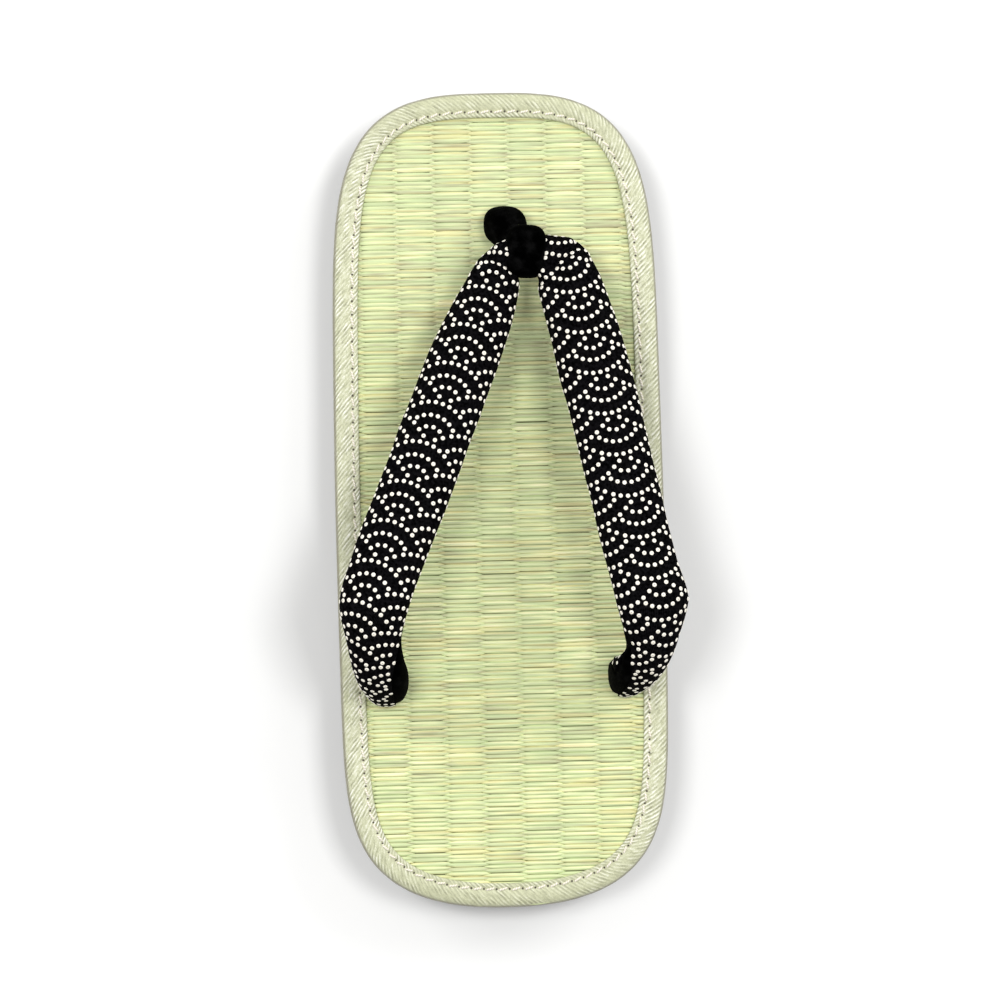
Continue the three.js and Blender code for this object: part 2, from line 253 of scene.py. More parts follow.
class Wire:
    """A socket of a finish. Python's operators on it add the Math nodes that they stand for."""

    def __init__(self, tree, socket=None):
        self.tree, self.socket = tree, socket

    def node(self, kind, settings=None, inputs=None, output=0):
        """Adds any node: its settings first, then the values or links of its sockets."""
        made = self.tree.nodes.new("ShaderNode" + kind)
        for name, value in (settings or {}).items():
            if name == "stops":
                while len(made.color_ramp.elements) < len(value):
                    made.color_ramp.elements.new(1.0)
                for element, (position, paint) in zip(made.color_ramp.elements, value):
                    element.position, element.color = position, paint
            else:
                setattr(made, name, value)
        for name, value in (inputs or {}).items():
            plug(made.inputs[name], value)
        return Wire(self.tree, made.outputs[output])

    def math(self, operation, a, b=0.0):
        return self.node("Math", {"operation": operation}, {0: a, 1: b})

    def __add__(self, other):
        return self.math("ADD", self, other)

    def __sub__(self, other):
        return self.math("SUBTRACT", self, other)

    def __rsub__(self, other):
        return self.math("SUBTRACT", other, self)

    def __mul__(self, other):
        return self.math("MULTIPLY", self, other)

    def __truediv__(self, other):
        return self.math("DIVIDE", self, other)

    __radd__, __rmul__ = __add__, __mul__

    def ramp(self, low, high):
        """0 below low and 1 above high, softly."""
        settings = {"interpolation_type": "SMOOTHSTEP"}
        return self.node("MapRange", settings, {"Value": self, "From Min": low, "From Max": high})

    def blend(self, low, high):
        """A colour between two others."""
        return self.node("Mix", {"data_type": "RGBA"}, {0: self, 6: low, 7: high}, output=2)

    def place(self):
        """The place on the object, in metres."""
        return self.node("TexCoord", output="Object")

    def mark(self, name):
        """A number that the mesh carries at its corners."""
        return self.node("Attribute", {"attribute_name": name}, output="Fac")

    def uv_axis(self, axis):
        """One axis of the piece's own UV map."""
        uv = self.node("UVMap", {"uv_map": "UVMap"})
        return self.node("SeparateXYZ", {}, {0: uv}, output=axis)

    def join(self, x, y, z):
        """Three numbers as one place."""
        return self.node("CombineXYZ", {}, {0: x, 1: y, 2: z})

    def wave(self, turns):
        """A sine wave between -1 and 1."""
        return self.math("SINE", turns * math.tau)

    def stretch(self, x, y, z):
        """A place, with each of its axes scaled."""
        return self.node("VectorMath", {"operation": "MULTIPLY"}, {0: self, 1: (x, y, z)})

    def noise(self, detail=2.0):
        return self.node("TexNoise", {}, {"Vector": self, "Scale": 1.0, "Detail": detail})

    def bump(self, height, below=None):
        """A normal from this height. One bump may lie on the bumps below it."""
        inputs = {"Height": self, "Strength": 1.0, "Distance": height}
        return self.node("Bump", {}, inputs | ({"Normal": below} if below else {}))


# %% Plugs, colours and new finishes


def plug(socket, value):
    """Links a wire to a socket, or sets the socket to a value."""
    if isinstance(value, Wire):
        value.tree.links.new(value.socket, socket)
    else:
        socket.default_value = value


def colour(code):
    """The linear colour of a hex code."""
    parts = [int(code[i:i + 2], 16) / 255 for i in (1, 3, 5)]
    return (*(c / 12.92 if c <= 0.04045 else ((c + 0.055) / 1.055) ** 2.4 for c in parts), 1.0)


def new_finish(name, constants):
    """A finish with its constant sockets set, a wire to start from, and a function that plugs its sockets."""
    finish = bpy.data.materials.new(name)
    finish.use_nodes = True
    shader = finish.node_tree.nodes["Principled BSDF"]
    for socket, value in constants.items():
        shader.inputs[socket].default_value = value
    print("finish:", name)
    return finish, Wire(finish.node_tree), lambda socket, value: plug(shader.inputs[socket], value)


# %% [markdown]
# ## Sole
#
# The real sole is cut from a sheet of dense black foam and its edge is ground round. A box with a bevel would
# have the wrong outline, so a grid is rolled round the edge of the sandal, one row for each level of the side's
# profile, and its two open rims are filled. The fills are then sliced across, so that they bend with the arch.

# %% Sole finish
FOAM_DARK, FOAM_PALE = colour("#1d1a19"), colour("#34302d")

foam, start, feed = new_finish("sole_foam", {"Specular IOR Level": 0.25})
place = start.place()
cells = start.node("TexVoronoi", {}, {"Vector": place, "Scale": 1400.0})
cloud = place.stretch(60, 60, 60).noise()
feed("Base Color", (0.7 * cells + 0.5 * cloud).ramp(0.2, 0.9).blend(FOAM_DARK, FOAM_PALE))
feed("Roughness", 0.78 + 0.15 * cloud)
feed("Normal", cells.bump(0.00012))

# %% Sole
SOLE_STEPS = 324
SOLE_TOP_BELOW_MAT = 4.3
SOLE_SIDE = [  # inset from the edge, and share of the sole's height
    (4.2, 0.0), (3.1, 0.015), (2.4, 0.05), (1.75, 0.1), (1.3, 0.16), (1.0, 0.3), (0.9, 0.45), (0.82, 0.75),
    (0.8, 0.96), (1.1, 1.0),
]
SLICE, SLICES = 4.0, 31


def slab_edge(u, inset):
    return edge_point(round(u * SOLE_STEPS) * EDGE_STEPS // SOLE_STEPS, inset)


def sole_place(_, u, v):
    inset, up = row_at(SOLE_SIDE, v)
    p = slab_edge(u, inset)
    low, high = sole_bottom(p.y), mat_top(p.y) - SOLE_TOP_BELOW_MAT
    return p.x, p.y, low + up * (high - low)


def cap_and_slice(bm):
    """Fills the open rims of a slab, and slices the fills so that they follow its curve."""
    rims = [e for e in bm.edges if e.is_boundary]
    caps = bmesh.ops.edgeloop_fill(bm, edges=rims)["faces"]
    for i in range(-SLICES, SLICES + 1):
        geom = caps + list({e for f in caps for e in f.edges}) + list({v for f in caps for v in f.verts})
        cut = bmesh.ops.bisect_plane(bm, geom=geom, plane_co=(0, i * SLICE, 0), plane_no=(0, 1, 0))
        caps = [g for g in cut["geom"] if isinstance(g, bmesh.types.BMFace)]
    return bm


sole_bm = slit_grid(SOLE_STEPS, len(SOLE_SIDE) - 1, 1, sole_place)
keep("sole_slab", seal(cap_and_slice(seal(sole_bm))), foam, "sole")

# %% [markdown]
# ## Mat
#
# The mat is woven from rush: each stem goes over one column of the weave and under the next, so a column shows
# every second stem, and its neighbour shows the others. A bump map could fake the ridges, but the stems dive and
# pinch where the columns meet, and that gives the mat its look. So each visible length of stem is its own strand,
# on a backing whose dark colour is painted shade, and a stem keeps its colour in every column that it comes up in.
# Towards the toe the strands lie flatter and end blunter, they are a little deeper in tone, and the painted shade
# in the lines between them is paler. The finish reads two numbers that each strand carries: its tone, with painted
# shade at the tips, and how near its crown a place lies, less where shade is painted along its sides, by its tips
# and beside the tape. It adds noise that is stretched along the stem for the fibres.

# %% Rush finish
RUSH_TONES = [(0.0, colour("#b1ae88")), (0.2, colour("#c2c59b")), (0.4, colour("#cdd5a5")),
              (0.62, colour("#d9e2ad")), (0.82, colour("#eaefb9")), (1.0, colour("#f8f5c6"))]
# RUSH_GAP_SHADE is painted shade for the lines between the strands.
RUSH_GAP_SHADE, RUSH_TAN, RUSH_GREEN = colour("#62643a"), colour("#dfd08e"), colour("#bfd29c")

rush, start, feed = new_finish("rush", {"Specular IOR Level": 0.35})
place = start.place()
tone = start.mark("tone")
# crown: how near a strand's crown a place lies, less where shade is painted.
crown = start.mark("crown")
fibre = place.stretch(95, 1600, 700).noise(1.0)
fade = place.stretch(45, 300, 45).noise()
hue = place.stretch(35, 1100, 300).noise()
shade = tone + 1.4 * (fibre - 0.5) + 0.12 * (fade - 0.5)
stem = start.node("ValToRGB", {"stops": RUSH_TONES}, {"Fac": shade})
stem = (0.45 * hue.ramp(0.52, 0.64)).blend(stem, RUSH_TAN)
stem = (0.5 * (1 - hue).ramp(0.52, 0.64)).blend(stem, RUSH_GREEN)
# Where the crown mark is low, the colour is painted shade: along the strands' sides, by their tips and beside the
# tape.
feed("Base Color", crown.ramp(0.0, 0.8).blend(RUSH_GAP_SHADE, stem))
feed("Roughness", 0.46 + 0.2 * fibre)
feed("Normal", fibre.bump(0.00008))

shaded_backing, start, feed = new_finish("rush_backing_painted_shade", {"Roughness": 0.9})
place = start.place()
# Its dark olive is painted shade: the rush under the strands, seen in the gaps between them.
feed("Base Color", place.stretch(200, 2000, 200).noise().blend(colour("#3f4022"), colour("#6b6b3e")))

# %% Backing
MAT_INSET, MAT_THICKNESS = 2.2, 4.0
BACKING_LOW = 0.4
BACKING_SIDE = [-MAT_THICKNESS, -MAT_THICKNESS / 2, -BACKING_LOW]


def backing_place(_, u, v):
    p = slab_edge(u, MAT_INSET)
    return p.x, p.y, mat_top(p.y) + row_at(BACKING_SIDE, v)


backing_bm = slit_grid(SOLE_STEPS, len(BACKING_SIDE) - 1, 1, backing_place)
keep("mat_backing", seal(cap_and_slice(seal(backing_bm))), shaded_backing, "mat")

# %% Stems and where they show
COLUMN, COLUMNS = 12.0, range(-5, 5)
COLUMN_EDGE = 4.9  # x where two columns meet
STEM_PITCH, STEM_JITTER = 0.7, 0.2
STEM_TONE, STEM_TONE_SPREAD = 0.6, 0.1
STRAND_DRIFT = 0.16
STRAND_HEIGHTS = (0.8, 1.2)
UNDER_BINDING = 5.6  # how far inside the outline the strands end

dice = random.Random(7)
STEMS = int(2 * HALF_LENGTH / STEM_PITCH)
stem_y = [-HALF_LENGTH + STEM_PITCH * (i + dice.uniform(-STEM_JITTER, STEM_JITTER)) for i in range(STEMS)]
stem_tone = [min(max(dice.gauss(STEM_TONE, STEM_TONE_SPREAD), 0.0), 1.0) for _ in range(STEMS)]
strands = []
for i in range(2, STEMS - 2):
    side = half_width(stem_y[i]) - UNDER_BINDING
    for c in COLUMNS:
        middle = COLUMN_EDGE + COLUMN * (c + 0.5)
        if (i + c) % 2 == 0 and abs(middle) - COLUMN / 2 < side:
            # Each strand gets a random depth of painted shade for the line along each of its two sides.
            strands.append({"middle": middle, "stem": i, "drift": dice.uniform(-STRAND_DRIFT, STRAND_DRIFT),
                            "high": dice.uniform(*STRAND_HEIGHTS), "painted_shade": (dice.uniform(0, 1), dice.uniform(0, 1))})
print(len(strands), "strands from", STEMS, "stems")

# %% Rush strands
STRAND_STEPS, STRAND_SIDES = 10, 4
STRAND_HALF, STRAND_FULL = 7.3, 5.0
STRAND_LOW, STRAND_HIGH, STRAND_DIVE = -0.32, 0.62, 0.3
STRAND_WIDE, STRAND_PINCH = 1.05, 0.9
TIP_FLAT, CROWN_ROUND = 0.35, 0.75
# PALER makes the painted shade along the strands' sides lighter towards the toe.
TOE_PART, FLATTER, PALER, BLUNTER = (25.0, 85.0), 0.5, 0.5, 0.3  # from y, to y, and what changes over that part
DEEP_PART, DEEPER = (-40.0, 70.0), 0.16
DASH_SHADE, DASH_AT, TIP_AT, TIP_SHADE = 0.9, (3.4, 4.6), (4.8, 5.6), 0.12  # dashes of painted shade close before a strand's tips, fading at the tips, and the tips' painted shade
# Shade is painted on the strands beside the tape's inner edge, which shades them.
SHADE_BY_THE_TAPE, TAPE_INSET, TAPE_SHADE = 0.4, 8.0, 1.8


def from_middle(u):
    """How far a corner lies from the middle of its strand. The corners lie closer together at the tips."""
    return math.sin(math.pi * (u - 0.5)) * STRAND_HALF


def strand_place(n, u, v):
    """An arched strand that narrows and dives at both tips."""
    i = strands[n]["stem"]
    x, y, angle = from_middle(u), stem_y[i], math.pi * v
    toe = ease(y, *TOE_PART)
    tuck = ease(abs(x), STRAND_FULL + BLUNTER * toe, STRAND_HALF)
    half = (stem_y[i + 2] - stem_y[i - 2]) / 4
    wide = STRAND_WIDE * half * (1 - STRAND_PINCH * tuck)
    high = STRAND_HIGH * (strands[n]["high"] * (1 - FLATTER * toe)) * (1 - TIP_FLAT * tuck)
    z = STRAND_LOW - STRAND_DIVE * tuck + high * math.sin(angle) ** CROWN_ROUND
    y -= wide * math.cos(angle)
    side = max(half_width(y) - UNDER_BINDING, 0.0)
    return min(max(strands[n]["middle"] + x, -side), side), y, mat_top(y) + z


def strand_tone(n, u, v):
    """How pale a strand is: its stem's tone, with painted shade at its tips, where they dive under the next column.
    """
    i = strands[n]["stem"]
    at_tip = ease(abs(from_middle(u)), STRAND_FULL, COLUMN / 2)
    return stem_tone[i] + strands[n]["drift"] - TIP_SHADE * at_tip - DEEPER * ease(stem_y[i], *DEEP_PART)


def strand_crown_and_shade(n, u, v):
    """1 on a strand's crown, and less where shade is painted: in the lines along its sides, by its tips and beside
    the tape.
    """
    x, y = from_middle(u), stem_y[strands[n]["stem"]]
    line = strands[n]["painted_shade"][v > 0.5] * (1 - PALER * ease(y, *TOE_PART))
    painted_shade = max(line, DASH_SHADE * ease(abs(x), *DASH_AT)) * (1 - ease(abs(x), *TIP_AT))
    from_tape = half_width(y) - TAPE_INSET - abs(strands[n]["middle"] + x)
    return 1 - max((1 - math.sin(math.pi * v)) * painted_shade, SHADE_BY_THE_TAPE * (1 - ease(from_tape, 0.0, TAPE_SHADE)))


strand_marks = {"tone": strand_tone, "crown": strand_crown_and_shade}
rush_bm = slit_grid(STRAND_STEPS, STRAND_SIDES, len(strands), strand_place, strand_marks)
keep("rush_strands", rush_bm, rush, "mat")

# %% [markdown]
# ## Edge binding
#
# A tape of ribbed cloth, cut on the bias, is folded over the mat's edge and sewn down near its inner edge. Its
# ribs keep one slant to the edge all the way round, so they are drawn on the tape's own UV map, and the tape is
# a grid that is rolled round the outline. The stitch line pulls a furrow into it, and the cloth puckers where it
# is eased round the corners.

# %% A smooth curve through a few rows
TINY = 1e-6


def curve_at(points, t):
    """The smooth curve through points that the part's solids use, at a share t of its rows."""
    place = min(max(t, 0.0), 1.0) * (len(points) - 1)
    i = min(int(place), len(points) - 2)
    w = place - i
    b, c = points[i], points[i + 1]
    a = points[i - 1] if i else 2 * b - c
    d = points[i + 2] if i + 2 < len(points) else 2 * c - b
    ab, bc, cd = (max((q - p).length, TINY) ** 0.5 for p, q in ((a, b), (b, c), (c, d)))
    leave = ((b - a) / ab - (c - a) / (ab + bc) + (c - b) / bc) * bc
    arrive = ((c - b) / bc - (d - b) / (bc + cd) + (d - c) / cd) * bc
    return b + w * leave + w ** 2 * (3 * (c - b) - 2 * leave - arrive) + w ** 3 * (2 * (b - c) + leave + arrive)


# %% The tape's profile, its ribs and its stitches
TAPE_TOP = [  # inset from the edge, and height over the mat
    (0.3, -4.0), (0.0, -2.4), (0.15, -0.9), (0.9, 0.4), (2.4, 1.15), (4.6, 1.35), (7.2, 1.25), (7.9, 1.0),
    (8.0, 0.6), (8.0, 0.3),
]
TAPE_STEPS, TAPE_FINE = 30, 200
SIDE_INSET = 0.4
RIB_PITCH, RIB_SLANT, SLANT_TURN = 1.6, 1.03, 0.16
STITCH_INSET, STITCH_PITCH = 6.2, 4.3

tape_fine = [curve_at([Vector(p) for p in TAPE_TOP], i / TAPE_FINE) for i in range(TAPE_FINE + 1)]
TAPE = evenly(tape_fine, TAPE_STEPS)
TAPE_WIDTH = sum((b - a).length for a, b in zip(tape_fine, tape_fine[1:]))
stitch_step = min(range(TAPE_STEPS // 2, TAPE_STEPS), key=lambda i: abs(TAPE[i].x - STITCH_INSET))
side_step = next(i for i in range(TAPE_STEPS) if TAPE[i].x > SIDE_INSET)
STITCH_ACROSS, SIDE_ACROSS = TAPE_WIDTH * stitch_step / TAPE_STEPS, TAPE_WIDTH * side_step / TAPE_STEPS
RIBS, STITCHES = round(EDGE_LENGTH / RIB_PITCH), round(EDGE_LENGTH / STITCH_PITCH)
print("tape", round(TAPE_WIDTH, 1), "mm wide, with", RIBS, "ribs and", STITCHES, "stitches")

# %% Binding finish
# The ramp runs from painted shade between the ribs, through the cloth's colour, to painted highlight on their glints.
CLOTH_SHADE_TO_GLINT = [(0.0, colour("#87876c")), (0.5, colour("#c8caa7")), (1.0, colour("#fdfcf2"))]
# CLOTH_SIDE_SHADE is painted shade on the tape's side, where it turns down; NEEDLE_HOLE_SHADE is painted shade in the
# needle holes.
CLOTH_SIDE_SHADE, NEEDLE_HOLE_SHADE = colour("#77725c"), colour("#3f3524")

binding_cloth, start, feed = new_finish("binding_cloth", {"Specular IOR Level": 0.5, "Sheen Weight": 0.15})
along, across = start.uv_axis("X"), start.uv_axis("Y") * TAPE_WIDTH
slant = RIB_SLANT - SLANT_TURN * start.wave(along)
phase = along * RIBS + across * slant / RIB_PITCH
# streak: painted glints along the ribs; satin: patches where the painted glints are stronger.
glint_streak = start.join(phase * 1.4, across * 0.45, 0.0).noise(2.0)
sheen_patch = start.join(phase * 0.2, across * 0.3, 7.0).noise(1.0)
thread = start.join(phase * 4.5, across * 2.6, 4.0).noise(1.0)
rib = 0.5 + 0.5 * start.wave(phase + 0.7 * glint_streak)
# Painted shade in each needle hole, at either end of a stitch.
hole_along = (start.math("FRACT", along * STITCHES + 0.5) - 0.5) * (EDGE_LENGTH / STITCHES)
hole_across = across - STITCH_ACROSS
hole_shade = 1 - start.math("SQRT", hole_along * hole_along + hole_across * hole_across).ramp(0.22, 0.5)
strength = 0.25 + 0.75 * sheen_patch.ramp(0.42, 0.62) + 0.3 * across.ramp(STITCH_ACROSS, STITCH_ACROSS + 0.5)
ends = start.math("COSINE", along * (2 * math.tau)).ramp(0.4, 0.95)
# The ribs' colour is painted shade between them and painted highlight on them, with noise for the yarn.
ribbing = 0.6 * (rib - 0.5) * strength + 1.1 * (glint_streak - 0.5) + 0.8 * (thread - 0.5)
tint = 0.5 - 0.08 * ends + ribbing * (1 - 0.4 * ends)
cloth_tone = start.node("ValToRGB", {"stops": CLOTH_SHADE_TO_GLINT}, {"Fac": tint})
# side: painted shade on the tape's side, where it turns down under the mat's edge.
side = 1 - across.ramp(SIDE_ACROSS - 0.3, SIDE_ACROSS + 0.7)
feed("Base Color", hole_shade.blend((0.8 * side).blend(cloth_tone, CLOTH_SIDE_SHADE), NEEDLE_HOLE_SHADE))
feed("Roughness", 0.62 - 0.2 * glint_streak)
feed("Normal", (rib * strength).bump(0.00008, thread.bump(0.00004)))

# %% Edge binding
TAPE_UNDER = [Vector((1.9, 0.3)), Vector((1.9, -4.0))]
FURROW, FURROW_HALF = 0.3, 0.9
DIMPLE, DIMPLE_HALF = 0.22, 0.7
PUCKER, STRAIGHT_PUCKER = 0.3, 0.25
RIPPLE_ALONG, RIPPLE_ROUND = 0.21, 2
TOE_CORNER, HEEL_CORNER = (60, 92.0), (64, 96.0)  # where a corner starts and where it is full, along the sandal
TAPE_ROWS = TAPE_STEPS + len(TAPE_UNDER) + 1


def tape_relief(step, k):
    """How far the cloth lies below or above a plain tape, at a step round the edge and a step across."""
    from_stitch = TAPE_WIDTH * k / TAPE_STEPS - STITCH_ACROSS
    share = step / EDGE_STEPS * STITCHES
    from_hole = (share - round(share)) * EDGE_LENGTH / STITCHES
    furrow = FURROW * math.exp(-(from_stitch / FURROW_HALF) ** 2)
    dimple = DIMPLE * math.exp(-(from_stitch / DIMPLE_HALF) ** 2 - (from_hole / DIMPLE_HALF) ** 2)
    y = EDGE[step % EDGE_STEPS].y
    corner = max(ease(y, *TOE_CORNER), ease(-y, *HEEL_CORNER))
    slanted = step * EDGE_LENGTH / EDGE_STEPS + RIB_SLANT * TAPE_WIDTH * k / TAPE_STEPS
    turn = math.tau * step / EDGE_STEPS
    ring = Vector((math.cos(turn), math.sin(turn))) * RIPPLE_ROUND
    ripple = noise.noise(Vector((slanted * RIPPLE_ALONG, *ring)))
    crown = math.sin(math.pi * min(k / (TAPE_STEPS - 2), 1.0)) ** 2
    return PUCKER * (STRAIGHT_PUCKER + (1 - STRAIGHT_PUCKER) * corner) * ripple * crown - furrow - dimple


def binding_place(_, u, v):
    """A place on the tape, which goes over the mat's edge and back under itself."""
    step = round(u * EDGE_STEPS) % EDGE_STEPS
    k = round(v * TAPE_ROWS)
    inset, up = TAPE[k] if k <= TAPE_STEPS else (TAPE_UNDER + [TAPE[0]])[k - TAPE_STEPS - 1]
    relief = tape_relief(step, k) if k < TAPE_STEPS - 1 else 0.0
    p = edge_point(step, inset - min(relief, 0.0) * (up < 0))
    return p.x, p.y, mat_top(p.y) + up + relief * (up > 0)


binding_bm = slit_grid(EDGE_STEPS, TAPE_ROWS, 1, binding_place)
uv_layer = binding_bm.loops.layers.uv.verify()
for face in binding_bm.faces:  # the top of the tape alone goes from 0 to 1 across
    for loop in face.loops:
        loop[uv_layer].uv.y *= TAPE_ROWS / TAPE_STEPS
keep("binding_tape", seal(binding_bm), binding_cloth, "edge_binding")

# %% [markdown]
# ## Stitches
#
# The tape is sewn down by machine with a thick cream thread, one stitch to about four millimetres. Each stitch is
# a short bent capsule that dips into its needle holes. All of them are strips of one grid, rolled up.

# %% Thread finish
PLY_TURNS = 4.0

sewing_thread, start, feed = new_finish("sewing_thread", {"Roughness": 0.7, "Sheen Weight": 0.2})
ply = 0.5 + 0.5 * start.wave(start.uv_axis("X") + start.uv_axis("Y") * (STITCHES * PLY_TURNS))
feed("Base Color", ply.blend(colour("#ddd3bb"), colour("#fdf9ee")))
feed("Normal", ply.bump(0.00004))

# %% Stitches
THREAD_SIDES, THREAD_STEPS = 8, 7
THREAD_HALF_WIDE, THREAD_HALF_HIGH = 0.36, 0.32
STITCH_HALF, STITCH_SLANT = 1.8, 0.24
STITCH_BLUNT, STITCH_BEND = 5, 4
STITCH_LIFT, STITCH_DIP = 0.22, 0.6


def stitch_place(n, u, v):
    t = 2 * v - 1
    thick = max(1 - abs(t) ** STITCH_BLUNT, 0.0) ** 0.5
    angle = math.tau * u
    step = (n + 0.5 + t * STITCH_HALF * STITCHES / EDGE_LENGTH) / STITCHES * EDGE_STEPS
    low = int(step)
    inset = STITCH_INSET + STITCH_SLANT * t * STITCH_HALF + THREAD_HALF_WIDE * thick * math.cos(angle)
    p = edge_point(low, inset).lerp(edge_point(low + 1, inset), step - low)
    up = TAPE[stitch_step].y - FURROW + STITCH_LIFT - STITCH_DIP * t ** STITCH_BEND
    return p.x, p.y, mat_top(p.y) + up + THREAD_HALF_HIGH * thick * math.sin(angle)


stitch_bm = slit_grid(THREAD_SIDES, THREAD_STEPS, STITCHES, stitch_place)
keep("binding_stitches", seal(stitch_bm), sewing_thread, "edge_binding")

# %% [markdown]
# ## Strap
#
# The strap is the upper: one long tube of black cotton, lined with velvet and stuffed with cotton wool, from the
# left hole through the velvet loop at the toe and on to the right hole. Its form is a row of pillow-shaped
# sections between an outer and an inner edge. A cloth simulation would round it off and lose its flat ends, so
# the printed cover is laid over these sections directly, and its folds are pressed in where it is
# gathered into the loop. Under it lies the velvet, which shows where the cover's edges part.

# %% Strap sections
STRAP_ROWS = [  # outer edge x, y, height over the mat, inner edge x, y, height, thickness
    (-43.8, -57.6, -9.5, -31.2, -57.6, -9.5, 12),
    (-43.8, -57.6, 0, -31.2, -57.6, 0, 13.5),
    (-45.2, -56.6, 8, -30.8, -56.2, 9, 13.5),
    (-47, -54, 15.5, -31.2, -53.2, 17.5, 12.5),
    (-48.4, -49.6, 21.3, -32.4, -48.8, 23.9, 11),
    (-49.9, -42.6, 26, -33, -42.4, 28.8, 9.8),
    (-51.8, -31, 30, -30, -30.8, 33, 9.5),
    (-48.5, -18.1, 29.2, -25.9, -20.6, 31.2, 9.5),
    (-36.9, 11.1, 24.8, -15.3, 4.5, 26.8, 9.5),
    (-20.9, 49.7, 18.2, -0.3, 42.6, 19.2, 9.5),
    (-15.4, 60.1, 16, 3.6, 53.1, 16.6, 9),
    (-10.5, 68.1, 14.4, 6, 61.5, 14.6, 8.5),
    (-5, 76.5, 14, 7, 67, 14, 8),
    (2.8, 82, 13, 6.8, 71, 13, 7.5),
    (9.3, 83.6, 13, 9.6, 72.4, 13, 7.5),
    (15.9, 83.6, 13, 12.4, 71.6, 13, 7.5),
    (26, 81, 14, 13.2, 69.2, 14, 8),
    (32.2, 71.6, 14.4, 13.1, 66.1, 14.6, 8.5),
    (35.4, 62.5, 16, 14.3, 60.6, 16.6, 9),
    (39.2, 49.8, 18.2, 17, 47.1, 19.2, 9.5),
    (47.2, 11.6, 24.8, 25.5, 7, 26.8, 9.5),
    (53, -19.6, 29.2, 31.4, -22.1, 31.2, 9.5),
    (55.2, -32, 30, 33.5, -31.5, 33, 9.5),
    (53.6, -42.6, 26, 36, -42.2, 28.8, 9.8),
    (51.2, -49.2, 21.3, 35, -48.2, 23.9, 10.8),
    (48.6, -53.4, 15.5, 33.8, -52.4, 17.5, 12),
    (45.6, -55.8, 8, 33, -55.2, 9, 13),
    (43.8, -56.6, 0, 32.8, -56.6, 0, 13),
    (43.8, -56.6, -9.5, 32.8, -56.6, -9.5, 12),
]
STRAP_STEPS = 560
EDGE_ROUND, FACE_ROUND = 2.5, 2.2  # exponents of the section, where 2 is an ellipse and more is boxier
EDGE_TURN, FACE_TURN = 1.2, 1.09  # exponents of the direction square to its skin
FACE_SHARE = 0.55
NUDGE = 0.25

outer_edge = [Vector((x, y, mat_top(y) + up)) for x, y, up, *_ in STRAP_ROWS]
inner_edge = [Vector((x, y, mat_top(y) + up)) for _, _, _, x, y, up, _ in STRAP_ROWS]


def strap_middle(t):
    return (curve_at(outer_edge, t) + curve_at(inner_edge, t)) / 2


def strap_section(t):
    """Middle, half width towards the inner edge, direction of the face, and thickness."""
    half = (curve_at(inner_edge, t) - curve_at(outer_edge, t)) / 2
    nudge = NUDGE / (len(STRAP_ROWS) - 1)
    ahead = strap_middle(min(t + nudge, 1.0)) - strap_middle(max(t - nudge, 0.0))
    place = t * (len(STRAP_ROWS) - 1)
    row = min(int(place), len(STRAP_ROWS) - 2)
    thin, thick = STRAP_ROWS[row][-1], STRAP_ROWS[row + 1][-1]
    return strap_middle(t), half, half.cross(ahead).normalized(), thin + (thick - thin) * (place - row)


fine = [strap_middle(i / FINE_STEPS) for i in range(FINE_STEPS + 1)]
STRAP_LENGTH = sum((b - a).length for a, b in zip(fine, fine[1:]))
walked, strap_t = 0.0, [0.0]
for i in range(1, FINE_STEPS + 1):
    walked += (fine[i] - fine[i - 1]).length
    while len(strap_t) <= STRAP_STEPS and walked >= STRAP_LENGTH * len(strap_t) / STRAP_STEPS - TINY:
        strap_t.append(i / FINE_STEPS)
SECTIONS = [strap_section(t) for t in strap_t]
print("strap of", round(STRAP_LENGTH), "mm in", len(SECTIONS), "sections")

# %% Places on the strap


def power(value, exponent):
    """A power that keeps the value's sign."""
    return math.copysign(abs(value) ** exponent, value)


def strap_place(step, degrees, lift):
    """A place on the strap: 0 degrees is the inner edge, 90 the face, 180 the outer edge, 270 the underside."""
    middle, half, face, thick = SECTIONS[step]
    c, s = math.cos(math.radians(degrees)), math.sin(math.radians(degrees))
    depth = thick * (FACE_SHARE if s > 0 else 1 - FACE_SHARE)
    wide = half.length
    out = half / wide * power(c, EDGE_TURN) * EDGE_ROUND / wide + face * power(s, FACE_TURN) * FACE_ROUND / depth
    base = middle + half * power(c, 2 / EDGE_ROUND) + face * depth * power(s, 2 / FACE_ROUND)
    return base + out.normalized() * lift


print("strap's top at", round(max(strap_place(i, 90.0, 0.0).z for i in range(STRAP_STEPS + 1)), 1), "mm")

# %% Folds of the cover
FOLDS = [  # from x, y, to x, y, half width, depth
    (17.2, 72.6, 26.4, 80.2, 1.7, 1.6),
    (-3.4, 78.4, 5.2, 72.2, 1.6, 1.5),
    (14.0, 68.5, 22.0, 70.5, 1.6, 0.7),
    (2.0, 66.0, -6.0, 69.0, 1.6, 0.5),
]
SLACK, SLACK_SIZE = 0.35, 14.0
RIDGE, RIDGE_AT, FOLD_FADE = 0.4, 1.9, 0.4
KINK_Y, KINK_REACH, KINK_OUT, KINK_PART = -32.0, 11.0, 1.3, (44.0, 54.0)
DENTS = [(35.4, -46.9, 3.5, -1.9), (35.2, -51.4, 2.8, 0.9)]  # x, y, half width, and how far out the cover lies


